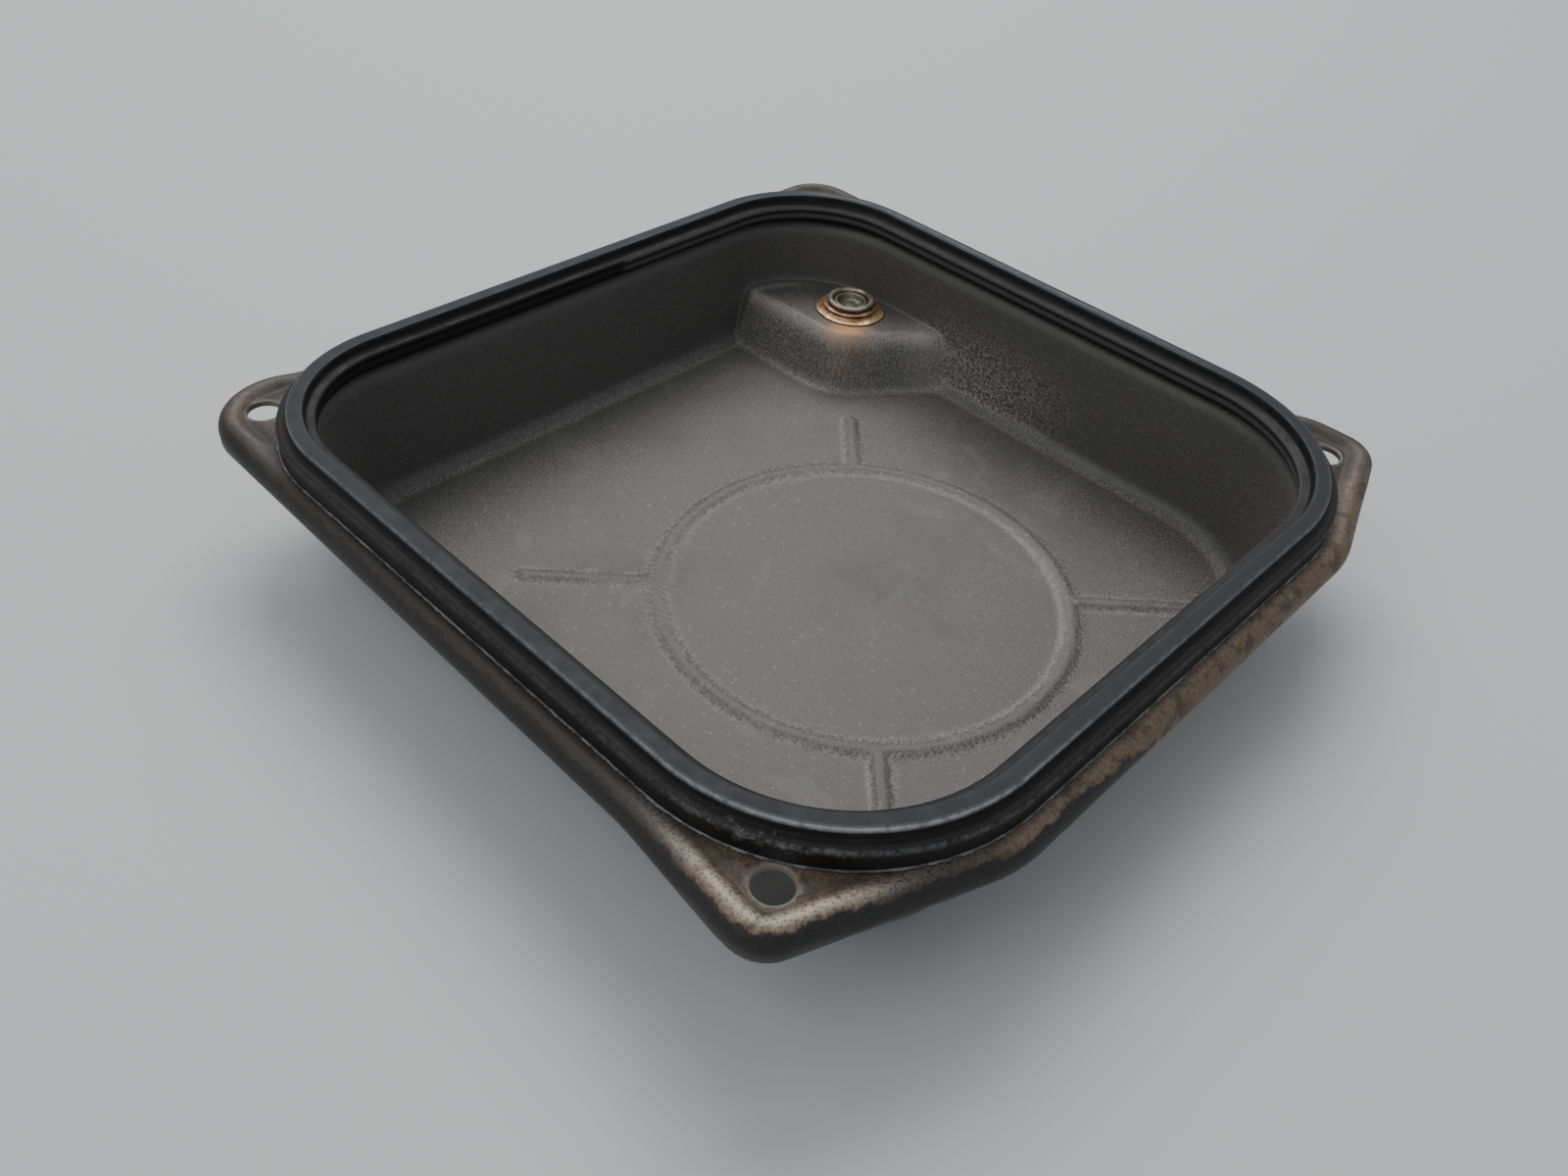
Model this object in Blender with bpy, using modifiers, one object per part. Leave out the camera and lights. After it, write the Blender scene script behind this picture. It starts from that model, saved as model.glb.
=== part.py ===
"""Oil pan of a gearbox or engine: a pressed steel bowl with a skirted flange and four bolt ears, a moulded
rubber seal round its mouth, and a drain plug in a bush brazed into a raised platform.

Metres, +Z up. The pan stands on its bottom at z = 0, centred on the origin. X is the longer way across the
ears. The drain platform is in the +X +Y corner.
"""

import bmesh
import bpy
from math import atan2, cos, hypot, pi, radians, sin, tan
from mathutils import Vector

MM = 0.001

# Main sizes, in millimetres.
HEIGHT = 51.0
SHEET = 1.6
FLOOR = 1.6
SEAT = 41.6
SKIRT_FOOT = 36.1
MOUTH = 110.0
MOUTH_R_FRONT = 49.0
MOUTH_R_REAR = 38.0
WALL_TOP = -1.0
WALL_FOOT = -5.8
FOOT_R = 5.0
BEND_R = 5.5
SKIRT_R = 4.0
RIDGE = 1.7

# The skirt's outer edge with its four ears, counter-clockwise from the right: (x, y, corner radius).
SKIRT = [
    (76.0, -123.0, 40.0),
    (126.6, -106.5, 12.0),
    (126.6, -90.0, 30.0),
    (123.2, -60.0, 60.0),
    (123.2, 82.0, 60.0),
    (127.4, 100.0, 30.0),
    (127.4, 123.4, 15.0),
    (-76.0, 123.4, 90.0),
    (-96.0, 124.2, 60.0),
    (-121.2, 124.2, 20.0),
    (-122.4, 40.0, 300.0),
    (-123.6, -60.0, 60.0),
    (-127.2, -92.0, 30.0),
    (-127.2, -102.3, 10.0),
    (-71.5, -123.0, 40.0),
]

# Bolt holes, for M8.
HOLE_R = 4.5
HOLES = [(111.5, -97.0), (107.3, 110.0), (-107.3, 110.0), (-113.6, -93.4)]

# Raised beads of the floor.
BEAD_Y = -22.0
BEAD_R = 60.5
BEAD_HALF = 3.2
BEAD_RISE = 1.15
RIB_REACH = [91.0, 102.0, 102.0, 102.0]

# Drain platform.
DRAIN_TOP = 20.2
DRAIN_FOOT = [(68.2, 134.0), (69.0, 57.8), (100.5, 35.5), (134.0, 6.6), (134.0, 134.0)]
DRAIN_FOOT_R = [2.0, 9.0, 40.0, 2.0, 2.0]
DRAIN_LEAN = 5.5
DRAIN_EDGE_R = 3.6
DRAIN_FILLET_R = 2.6

# Bush, plug and washer, for an M12 thread.
BUSH = (92.6, 71.0)
BUSH_HOLE_R = 8.5
THREAD_R = 6.0
GAP = 0.3
HEX_ACROSS = 17.0

SHELL_STEPS = 22
SEAL_STEPS = 14
SIDE_STOPS = [0.1, 0.32, 0.55, 0.78, 0.94]


def clear_scene():
    for obj in list(bpy.data.objects):
        bpy.data.objects.remove(obj, do_unlink=True)


def collection(name, hidden=False):
    made = bpy.data.collections.new(name)
    bpy.context.scene.collection.children.link(made)
    made.hide_render = hidden
    return made


def material(name, colour, metallic, roughness):
    made = bpy.data.materials.new(name)
    made.use_nodes = True
    shader = made.node_tree.nodes["Principled BSDF"]
    shader.inputs["Base Color"].default_value = (*colour, 1.0)
    shader.inputs["Metallic"].default_value = metallic
    shader.inputs["Roughness"].default_value = roughness
    made.diffuse_color = (*colour, 1.0)
    return made


def add_mesh(name, points, faces, group, finish=None):
    """An object from points in millimetres."""
    mesh = bpy.data.meshes.new(name)
    mesh.from_pydata([Vector(p) * MM for p in points], [], faces)
    sorted_out = bmesh.new()
    sorted_out.from_mesh(mesh)
    bmesh.ops.recalc_face_normals(sorted_out, faces=sorted_out.faces)
    sorted_out.to_mesh(mesh)
    sorted_out.free()
    for face in mesh.polygons:
        face.use_smooth = True
    made = bpy.data.objects.new(name, mesh)
    if finish:
        mesh.materials.append(finish)
    group.objects.link(made)
    if group is cutters:
        made.display_type = "WIRE"
        made.hide_render = True
    return made


def loft(name, rings, group, finish=None, closed_section=False):
    """A skin through rings of points. Open sections are capped at both ends."""
    count = len(rings[0])
    points = [p for ring in rings for p in ring]
    faces = []
    last = len(rings) if closed_section else len(rings) - 1
    for i in range(last):
        a = i * count
        b = (i + 1) % len(rings) * count
        for j in range(count):
            k = (j + 1) % count
            faces.append((a + j, a + k, b + k, b + j))
    if not closed_section:
        faces.append(tuple(range(count)))
        faces.append(tuple(range(len(points) - count, len(points))))
    return add_mesh(name, points, faces, group, finish)


def turned(name, profile, steps, centre, group, finish):
    """A turned piece: a closed (radius, z) profile swept about the vertical line through centre."""
    points = [(r, 0.0, z) for r, z in profile]
    mesh = bpy.data.meshes.new(name)
    edges = [(i, i + 1) for i in range(len(points) - 1)]
    if profile[0][0] > 0:
        edges.append((len(points) - 1, 0))
    mesh.from_pydata([Vector(p) * MM for p in points], edges, [])
    mesh.materials.append(finish)
    made = bpy.data.objects.new(name, mesh)
    made.location = (centre[0] * MM, centre[1] * MM, 0.0)
    group.objects.link(made)
    screw = made.modifiers.new("turn", "SCREW")
    screw.axis = "Z"
    screw.steps = steps
    screw.render_steps = steps
    screw.use_merge_vertices = True
    screw.merge_threshold = 0.00002
    screw.use_smooth_shade = True
    return made


def boolean(obj, other, operation):
    made = obj.modifiers.new(operation.lower() + " " + other.name, "BOOLEAN")
    made.operation = operation
    made.object = other
    made.solver = "EXACT"


def crossing(a, b, c, d):
    """Where line a-b meets line c-d."""
    ux, uy = b[0] - a[0], b[1] - a[1]
    vx, vy = d[0] - c[0], d[1] - c[1]
    t = ((c[0] - a[0]) * vy - (c[1] - a[1]) * vx) / (ux * vy - uy * vx)
    return (a[0] + ux * t, a[1] + uy * t)


def shifted(a, b, amount):
    """Line a-b moved to its right by amount."""
    length = hypot(b[0] - a[0], b[1] - a[1])
    nx, ny = (b[1] - a[1]) / length * amount, -(b[0] - a[0]) / length * amount
    return (a[0] + nx, a[1] + ny), (b[0] + nx, b[1] + ny)


def offset(corners, amount, closed):
    """Corner points of a path moved to its right by amount. A closed path goes counter-clockwise."""
    count = len(corners)
    pairs = [(corners[i], corners[(i + 1) % count]) for i in range(count if closed else count - 1)]
    lines = [shifted(a, b, amount) for a, b in pairs]
    if closed:
        return [crossing(*lines[i - 1], *lines[i]) for i in range(count)]
    inner = [crossing(*lines[i - 1], *lines[i]) for i in range(1, len(lines))]
    return [lines[0][0], *inner, lines[-1][1]]


def arc(before, corner, after, radius, steps):
    """Points of the rounding of one corner of a path."""
    a = Vector((before[0] - corner[0], before[1] - corner[1])).normalized()
    b = Vector((after[0] - corner[0], after[1] - corner[1])).normalized()
    half = a.angle(b) / 2
    reach = radius / tan(half)
    centre = Vector(corner) + (a + b).normalized() * (radius / sin(half))
    start = Vector(corner) + a * reach - centre
    end = Vector(corner) + b * reach - centre
    sweep = start.angle_signed(end)
    made = []
    for i in range(steps + 1):
        turn = -sweep * i / steps
        c, s = cos(turn), sin(turn)
        made.append((centre.x + start.x * c - start.y * s, centre.y + start.x * s + start.y * c))
    return made


def rounded(corners, radii, steps):
    """A closed path with its corners rounded."""
    made = []
    count = len(corners)
    for i in range(count):
        made += arc(corners[i - 1], corners[i], corners[(i + 1) % count], radii[i], steps)
    return made


def mouth_frames(steps):
    """Points of the mouth's edge with their outward directions, counter-clockwise from the rear right."""
    corners = [(1, 1, MOUTH_R_REAR), (-1, 1, MOUTH_R_REAR), (-1, -1, MOUTH_R_FRONT), (1, -1, MOUTH_R_FRONT)]
    frames = []
    for number, (sx, sy, radius) in enumerate(corners):
        centre = (sx * (MOUTH - radius), sy * (MOUTH - radius))
        for i in range(steps + 1):
            turn = pi / 2 * (number + i / steps)
            n = (cos(turn), sin(turn))
            frames.append(((centre[0] + n[0] * radius, centre[1] + n[1] * radius), n))
        nx, ny, next_radius = corners[(number + 1) % 4]
        start = frames[-1][0]
        end_centre = (nx * (MOUTH - next_radius), ny * (MOUTH - next_radius))
        n = frames[-1][1]
        end = (end_centre[0] + n[0] * next_radius, end_centre[1] + n[1] * next_radius)
        for part in SIDE_STOPS:
            spot = (start[0] + (end[0] - start[0]) * part, start[1] + (end[1] - start[1]) * part)
            frames.append((spot, n))
    return frames


def skirt_path(inset):
    """The skirt's outer edge moved inwards, with its corners rounded."""
    corners = offset([(x, y) for x, y, _ in SKIRT], -inset, True)
    radii = []
    for i, (_, _, radius) in enumerate(SKIRT):
        a = Vector(corners[i]) - Vector(corners[i - 1])
        b = Vector(corners[(i + 1) % len(SKIRT)]) - Vector(corners[i])
        outward = a.x * b.y - a.y * b.x > 0
        radii.append(max(radius - inset if outward else radius + inset, 1.5))
    return rounded(corners, radii, 8)


def reach(frame, path):
    """How far a frame's ray goes before it meets a closed path."""
    (px, py), (nx, ny) = frame
    best = None
    for i in range(len(path)):
        ax, ay = path[i - 1]
        bx, by = path[i]
        ux, uy = bx - ax, by - ay
        cross = nx * uy - ny * ux
        if abs(cross) < 1e-12:
            continue
        along = ((ax - px) * uy - (ay - py) * ux) / cross
        part = ((ax - px) * ny - (ay - py) * nx) / cross
        if -1e-9 <= part <= 1 + 1e-9 and along > 0 and (best is None or along < best):
            best = along
    return best


def smooth(value):
    value = min(max(value, 0.0), 1.0)
    return value * value * (3 - 2 * value)


def mouth_ring(frames, out, z):
    return [(p[0] + n[0] * out, p[1] + n[1] * out, z) for p, n in frames]


def skirt_ring(frames, inset, z, rises):
    path = skirt_path(inset)
    made = []
    for (p, n), rise in zip(frames, rises):
        far = reach((p, n), path)
        made.append((p[0] + n[0] * far, p[1] + n[1] * far, z + RIDGE * rise))
    return made


def shell_rings(frames):
    """Rings of the pressing, from the floor's upper face round the skirt's foot to the floor's lower face."""
    section = [(-34.0, FLOOR), (WALL_FOOT, FLOOR), (WALL_TOP, SEAT), (6.0, SEAT)]
    upper = arc(*section[:3], FOOT_R, 4) + arc(*section[1:], BEND_R, 4)
    under = offset(section, SHEET, False)
    lower = arc(*under[:3], FOOT_R + SHEET, 4) + arc(*under[1:], BEND_R - SHEET, 4)
    edge = skirt_path(0.0)
    rises = [smooth((reach(frame, edge) - 16.0) / 6.0) for frame in frames]
    none = [0.0] * len(frames)
    rings = [mouth_ring(frames, d, z) for d, z in upper]
    rings.append(skirt_ring(frames, 8.4, SEAT, none))
    rings.append(skirt_ring(frames, 6.3, SEAT, [0.75 * rise for rise in rises]))
    for turn in (0, 30, 60, 90):
        s, c = sin(radians(turn)), cos(radians(turn))
        rings.append(skirt_ring(frames, SKIRT_R * (1 - s), SEAT - SKIRT_R * (1 - c), rises))
    rings.append(skirt_ring(frames, 0.0, SKIRT_FOOT, none))
    rings.append(skirt_ring(frames, SHEET, SKIRT_FOOT, none))
    inner = SKIRT_R - SHEET
    for turn in (90, 45, 0):
        s, c = sin(radians(turn)), cos(radians(turn))
        rings.append(skirt_ring(frames, SKIRT_R - inner * s, SEAT - SKIRT_R + inner * c, rises))
    rings.append(skirt_ring(frames, 8.4, SEAT - SHEET, none))
    rings += [mouth_ring(frames, d, z) for d, z in reversed(lower)]
    return rings


def stadium(start, end, half, z):
    """A ring round the line start-end at a distance of half."""
    turn = atan2(end[1] - start[1], end[0] - start[0])
    made = []
    for spot, first in ((end, -90), (start, 90)):
        for i in range(7):
            angle = turn + radians(first + 30 * i)
            made.append((spot[0] + cos(angle) * half, spot[1] + sin(angle) * half, z))
    return made


def bead_section(lower):
    """(distance from the bead's middle, z) down one side of a bead, or of the groove below it."""
    drop = SHEET if lower else 0.0
    slim = 0.75 if lower else 0.0
    top = FLOOR + BEAD_RISE - drop
    foot = -0.6 if lower else 0.9
    return [(0.9 - slim / 3, top), (2.0 - slim, top - 0.3), (BEAD_HALF - slim, FLOOR - drop - 0.05), (3.5 - slim, foot)]


def floor_beads(lower, group):
    side = bead_section(lower)
    label = "groove" if lower else "bead"
    ring = [(BEAD_R + d, z) for d, z in side] + [(BEAD_R - d, z) for d, z in reversed(side)]
    rings = []
    for r, z in ring:
        rings.append([(cos(2 * pi * i / 64) * r, BEAD_Y + sin(2 * pi * i / 64) * r, z) for i in range(64)])
    made = [loft(label + "_ring", rings, group, closed_section=True)]
    for number, far in enumerate(RIB_REACH):
        angle = radians(45 + 90 * number)
        start = (cos(angle) * BEAD_R, BEAD_Y + sin(angle) * BEAD_R)
        end = (cos(angle) * (far - 3), BEAD_Y + sin(angle) * (far - 3))
        rings = [stadium(start, end, d, z - 0.08) for d, z in side]
        made.append(loft(f"{label}_rib_{number}", rings, group))
    return made


def platform_body(lower, group):
    """The drain platform's upper faces, or the same shape one sheet lower for the space under it."""
    inside = SHEET if lower else 0.0
    top = DRAIN_TOP - inside
    foot = FLOOR - inside - 0.06
    edge_r = DRAIN_EDGE_R - inside
    fillet_r = DRAIN_FILLET_R + inside
    side = [(-16.0, top), (-DRAIN_LEAN, top), (0.0, foot), (12.0, foot)]
    profile = arc(*side[:3], edge_r, 4) + arc(*side[1:], fillet_r, 4)
    profile[-1] = (profile[-1][0] + 0.2, foot - 0.75)
    rings = []
    for d, z in profile:
        corners = offset(DRAIN_FOOT[::-1], -(d - inside), True)
        rings.append([(x, y, z) for x, y in rounded_platform(corners[::-1], d - inside)])
    return loft("platform_under" if lower else "platform", rings, group)


def rounded_platform(corners, grown):
    radii = [2.0, DRAIN_FOOT_R[1] + grown, DRAIN_FOOT_R[2] + grown, 2.0, 2.0]
    return rounded(corners, [max(r, 0.6) for r in radii], 6)


def bowl_core(frames, group):
    """The space inside the middle of the sheet, as a solid."""
    section = offset([(-34.0, FLOOR), (WALL_FOOT, FLOOR), (WALL_TOP, SEAT)], SHEET / 2, False)
    path = arc(*section, FOOT_R + SHEET / 2, 4) + [section[2]]
    return loft("bowl_core", [mouth_ring(frames, d, z) for d, z in path], group)


def bolt_drill(x, y, group):
    """A cutter for one bolt hole."""
    rings = []
    for z in (SEAT - 6, SEAT + 6):
        turns = [2 * pi * i / 24 for i in range(24)]
        rings.append([(x + cos(t) * HOLE_R, y + sin(t) * HOLE_R, z) for t in turns])
    return loft("bolt_drill", rings, group)


def bush_drill(group):
    rings = []
    for z in (DRAIN_TOP - 8, DRAIN_TOP + 8):
        turns = [2 * pi * i / 36 for i in range(36)]
        rings.append([(BUSH[0] + cos(t) * BUSH_HOLE_R, BUSH[1] + sin(t) * BUSH_HOLE_R, z) for t in turns])
    return loft("bush_drill", rings, group)


def make_shell(finish):
    frames = mouth_frames(SHELL_STEPS)
    shell = loft("pan_shell", shell_rings(frames), pan, finish)
    platform = platform_body(False, cutters)
    boolean(platform, bowl_core(frames, cutters), "INTERSECT")
    boolean(shell, platform, "UNION")
    boolean(shell, platform_body(True, cutters), "DIFFERENCE")
    for bead in floor_beads(False, cutters):
        boolean(shell, bead, "UNION")
    for groove in floor_beads(True, cutters):
        boolean(shell, groove, "DIFFERENCE")
    for x, y in HOLES:
        boolean(shell, bolt_drill(x, y, cutters), "DIFFERENCE")
    boolean(shell, bush_drill(cutters), "DIFFERENCE")
    return shell


def make_seal(finish):
    """The moulded seal: a flat sealing rib on a wider block, with a lip inwards over the mouth."""
    base = SEAT + GAP
    section = [
        (0.25, HEIGHT),
        (4.15, HEIGHT),
        (4.4, HEIGHT - 0.3),
        (4.8, HEIGHT - 2.9),
        (7.0, HEIGHT - 3.1),
        (7.5, HEIGHT - 3.7),
        (7.5, base + 0.3),
        (7.1, base),
        (-0.6, base),
        (-1.9, HEIGHT - 8.1),
        (-2.6, HEIGHT - 7.0),
        (-2.6, HEIGHT - 5.8),
        (-2.2, HEIGHT - 5.0),
        (-2.9, HEIGHT - 4.3),
        (-2.9, HEIGHT - 3.5),
        (-2.3, HEIGHT - 2.9),
        (-0.5, HEIGHT - 2.7),
        (0.0, HEIGHT - 0.3),
    ]
    frames = mouth_frames(SEAL_STEPS)
    return loft("rim_seal", [mouth_ring(frames, d, z) for d, z in section], pan, finish, True)


def make_bush(finish):
    top = DRAIN_TOP + 4.9
    profile = [
        (THREAD_R + 0.9, top),
        (7.7, top),
        (8.3, top - 0.45),
        (8.35, top - 1.0),
        (7.75, top - 1.35),
        (7.75, top - 1.75),
        (9.75, top - 1.95),
        (9.9, top - 2.3),
        (9.7, top - 2.7),
        (9.0, top - 2.8),
        (9.0, DRAIN_TOP + GAP),
        (BUSH_HOLE_R - GAP, DRAIN_TOP + GAP),
        (BUSH_HOLE_R - GAP, DRAIN_TOP - 3.5),
        (7.9, DRAIN_TOP - 3.8),
        (THREAD_R + GAP, DRAIN_TOP - 3.8),
        (THREAD_R + GAP, top - 0.6),
    ]
    return turned("drain_bush", profile, 32, BUSH, pan, finish)


def make_braze(finish):
    low = DRAIN_TOP + GAP
    profile = [(9.3, low + 1.5), (9.8, low + 1.15), (10.7, low + 0.8), (12.3, low + 0.3), (12.6, low), (9.3, low)]
    return turned("braze_fillet", profile, 32, BUSH, pan, finish)


def make_plug(finish):
    """The plug: a plain shank of the thread's size, hollow at its end, with a collar and a hexagon head."""
    end = DRAIN_TOP + 4.0
    seat = DRAIN_TOP - 3.8 - 2 * GAP - 1.5
    profile = [
        (0.0, end - 2.6),
        (3.6, end - 2.4),
        (4.5, end - 1.6),
        (4.9, end),
        (5.5, end),
        (THREAD_R, end - 0.6),
        (THREAD_R, seat),
        (9.6, seat),
        (10.0, seat - 0.4),
        (10.0, seat - 1.6),
        (9.6, seat - 2.0),
        (0.0, seat - 2.0),
    ]
    plug = turned("drain_plug", profile, 32, BUSH, pan, finish)
    corner = HEX_ACROSS / 2 / cos(pi / 6)
    rings = []
    for r, z in ((corner, seat - 1.5), (corner, seat - 7.4), (corner - 0.9, seat - 8.2)):
        turns = [pi / 3 * i for i in range(6)]
        rings.append([(BUSH[0] + cos(t) * r, BUSH[1] + sin(t) * r, z) for t in turns])
    head = loft("hexagon", rings, cutters)
    for face in head.data.polygons:
        face.use_smooth = False
    boolean(plug, head, "UNION")
    return plug


def make_washer(finish):
    top = DRAIN_TOP - 3.8 - GAP
    profile = [
        (6.8, top),
        (9.2, top),
        (9.5, top - 0.3),
        (9.5, top - 1.2),
        (9.2, top - 1.5),
        (6.8, top - 1.5),
        (6.5, top - 1.2),
        (6.5, top - 0.3),
    ]
    return turned("plug_washer", profile, 32, BUSH, pan, finish)


clear_scene()
pan = collection("oil_pan")
cutters = collection("oil_pan_cutters", hidden=True)

make_shell(material("pressed_steel", (0.19, 0.17, 0.15), 0.7, 0.5))
make_seal(material("seal_rubber", (0.045, 0.05, 0.055), 0.0, 0.5))
make_bush(material("bush_steel", (0.25, 0.15, 0.09), 0.8, 0.4))
make_braze(material("braze_copper", (0.55, 0.3, 0.14), 0.9, 0.4))
make_plug(material("plug_steel", (0.2, 0.2, 0.15), 0.7, 0.4))
make_washer(material("washer_copper", (0.6, 0.3, 0.18), 0.9, 0.35))
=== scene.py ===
"""Looks of the oil pan: fine pressed shell, moulded seal, drain bush with its braze, plug and washer."""

import math

import bmesh
import bpy
import numpy as np
from mathutils import Matrix, Vector, geometry, noise


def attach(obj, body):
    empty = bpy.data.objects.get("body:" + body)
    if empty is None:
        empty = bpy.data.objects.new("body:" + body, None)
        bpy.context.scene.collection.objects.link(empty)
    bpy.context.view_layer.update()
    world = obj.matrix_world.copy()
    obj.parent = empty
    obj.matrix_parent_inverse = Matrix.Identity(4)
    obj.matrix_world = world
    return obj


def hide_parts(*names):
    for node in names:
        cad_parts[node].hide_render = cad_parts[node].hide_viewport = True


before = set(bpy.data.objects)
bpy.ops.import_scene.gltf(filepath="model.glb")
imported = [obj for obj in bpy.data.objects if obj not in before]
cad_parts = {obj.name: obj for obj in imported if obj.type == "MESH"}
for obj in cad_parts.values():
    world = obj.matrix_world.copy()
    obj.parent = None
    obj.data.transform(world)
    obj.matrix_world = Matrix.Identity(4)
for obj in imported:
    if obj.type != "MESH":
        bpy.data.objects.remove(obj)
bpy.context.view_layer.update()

MM = 0.001

# Main sizes in millimetres, as in the CAD model. MOUTH is half the mouth's width. Places in a section of
# the rim, such as WALL_TOP, are distances outwards from the mouth's edge.
HEIGHT = 51.0
SHEET = 1.6
FLOOR = 1.6
SEAT = 41.6
SKIRT_FOOT = 36.1
MOUTH = 110.0
# The mouth's corners: sides of the centre in x and y, and radius.
CORNERS = [(1, 1, 38.0), (-1, 1, 38.0), (-1, -1, 49.0), (1, -1, 49.0)]
WALL_TOP = -1.0
WALL_FOOT = -5.8
FLOOR_REACH = -34.0
SEAT_REACH = 6.0
FOOT_R = 5.0
BEND_R = 5.5
SKIRT_R = 4.0
RIDGE = 1.7

# The skirt's outer edge with its four ears, counter-clockwise from the right: (x, y, corner radius).
SKIRT = [
    (76.0, -123.0, 40.0),
    (126.6, -106.5, 12.0),
    (126.6, -90.0, 30.0),
    (123.2, -60.0, 60.0),
    (123.2, 82.0, 60.0),
    (127.4, 100.0, 30.0),
    (127.4, 123.4, 15.0),
    (-76.0, 123.4, 90.0),
    (-96.0, 124.2, 60.0),
    (-121.2, 124.2, 20.0),
    (-122.4, 40.0, 300.0),
    (-123.6, -60.0, 60.0),
    (-127.2, -92.0, 30.0),
    (-127.2, -102.3, 10.0),
    (-71.5, -123.0, 40.0),
]

# Bolt holes: right, rear, left and front in the camera's view. The mesh is made again up to HOLE_CLEAR
# outside a hole's edge, which has HOLE_STEPS points.
HOLE_R = 4.5
HOLE_CLEAR = 0.6
HOLE_STEPS = 60
HOLES = [(111.5, -97.0), (107.3, 110.0), (-107.3, 110.0), (-113.6, -93.4)]

# Raised beads of the floor: a circle and four ribs.
BEAD_Y = -22.0
BEAD_R = 60.5
BEAD_RISE = 1.15
RIB_REACH = [91.0, 102.0, 102.0, 102.0]

# Drain platform. Its sides lean in by DRAIN_LEAN, and DRAIN_CREST and DRAIN_BLEND soften the creases above
# and below them.
DRAIN_TOP = 20.2
DRAIN_FOOT = [(68.2, 134.0), (69.0, 57.8), (100.5, 35.5), (134.0, 6.6), (134.0, 134.0)]
DRAIN_FOOT_R = [2.0, 20.0, 40.0, 2.0, 2.0]
DRAIN_LEAN = 5.5
DRAIN_CREST = 9.0
DRAIN_BLEND = 4.5

# Bush, braze, plug and washer. GAP is the clearance between neighbouring pieces.
GAP = 0.3
BUSH = (92.6, 71.0)
BUSH_HOLE_R = 8.5
BUSH_RISE = 4.9
BUSH_BELOW = 3.8
BRAZE_R = 9.25
PLUG_RISE = 4.0
HEX_HALF = 8.5
HEX_ROUND = 9.72
WASHER = 1.5


# ---------------------------------------------------------------- paths and rings


def crossing(a, b, c, d):
    u, v = b - a, d - c
    t = ((c[0] - a[0]) * v[1] - (c[1] - a[1]) * v[0]) / (u[0] * v[1] - u[1] * v[0])
    return a + u * t


def offset(corners, amount):
    """Corner points of a closed counter-clockwise path moved outwards by amount."""
    corners = [np.array(c, float) for c in corners]
    lines = []
    for i, a in enumerate(corners):
        b = corners[(i + 1) % len(corners)]
        u = (b - a) / np.linalg.norm(b - a)
        n = np.array([u[1], -u[0]]) * amount
        lines.append((a + n, b + n))
    return [crossing(*lines[i - 1], *lines[i]) for i in range(len(lines))]


def arc(before, corner, after, radius, steps):
    """Points of the rounding of one corner of a path."""
    corner = Vector(corner)
    a = (Vector(before) - corner).normalized()
    b = (Vector(after) - corner).normalized()
    half = a.angle(b) / 2
    centre = corner + (a + b).normalized() * (radius / math.sin(half))
    start = corner + a * (radius / math.tan(half)) - centre
    end = corner + b * (radius / math.tan(half)) - centre
    sweep = start.angle_signed(end)
    made = []
    for i in range(steps + 1):
        turn = -sweep * i / steps
        c, s = math.cos(turn), math.sin(turn)
        made.append((centre.x + start.x * c - start.y * s, centre.y + start.x * s + start.y * c))
    return made


def rounded(corners, radii, steps):
    made = []
    for i in range(len(corners)):
        made += arc(corners[i - 1], corners[i], corners[(i + 1) % len(corners)], radii[i], steps)
    return np.array(made)


def skirt_path(inset, steps=14):
    """The skirt's outer edge moved inwards, with its corners rounded."""
    corners = offset([(x, y) for x, y, _ in SKIRT], -inset)
    radii = []
    for i in range(len(SKIRT)):
        a = corners[i] - corners[i - 1]
        b = corners[(i + 1) % len(SKIRT)] - corners[i]
        convex = a[0] * b[1] - a[1] * b[0] > 0
        radii.append(max(SKIRT[i][2] + (-inset if convex else inset), 1.5))
    return rounded(corners, radii, steps)


def mouth_frames(corner_steps, side_steps, bias):
    """Points of the mouth's edge and their outward directions, counter-clockwise from the rear right."""
    spots, ways = [], []
    for number, (sx, sy, radius) in enumerate(CORNERS):
        centre = np.array([sx, sy]) * (MOUTH - radius)
        for i in range(corner_steps[number] + 1):
            turn = math.pi / 2 * (number + i / corner_steps[number])
            ways.append(np.array([math.cos(turn), math.sin(turn)]))
            spots.append(centre + ways[-1] * radius)
        nx, ny, next_radius = CORNERS[(number + 1) % 4]
        end = np.array([nx, ny]) * (MOUTH - next_radius) + ways[-1] * next_radius
        start = spots[-1]
        for i in range(1, side_steps[number]):
            spots.append(start + (end - start) * (i / side_steps[number]) ** bias[number])
            ways.append(ways[-1])
    return np.array(spots), np.array(ways)


def reach(frames, path):
    """How far each frame's ray goes before it meets a closed path."""
    spots, ways = frames
    a, b = np.roll(path, 1, axis=0), path
    u = b - a
    px, py, nx, ny = spots[:, :1], spots[:, 1:], ways[:, :1], ways[:, 1:]
    cross = nx * u[:, 1] - ny * u[:, 0]
    cross = np.where(np.abs(cross) < 1e-12, 1e-12, cross)
    along = ((a[:, 0] - px) * u[:, 1] - (a[:, 1] - py) * u[:, 0]) / cross
    part = ((a[:, 0] - px) * ny - (a[:, 1] - py) * nx) / cross
    along = np.where((part > -1e-9) & (part < 1 + 1e-9) & (along > 0), along, 1e9)
    return along.min(axis=1)


def smooth(value):
    value = np.clip(value, 0.0, 1.0)
    return value * value * (3 - 2 * value)


def soft_max(a, b, k):
    """The larger of two heights, with the crease between them rounded."""
    h = np.clip(k - np.abs(a - b), 0.0, None) / k
    return np.maximum(a, b) + h * h * k / 4


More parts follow.
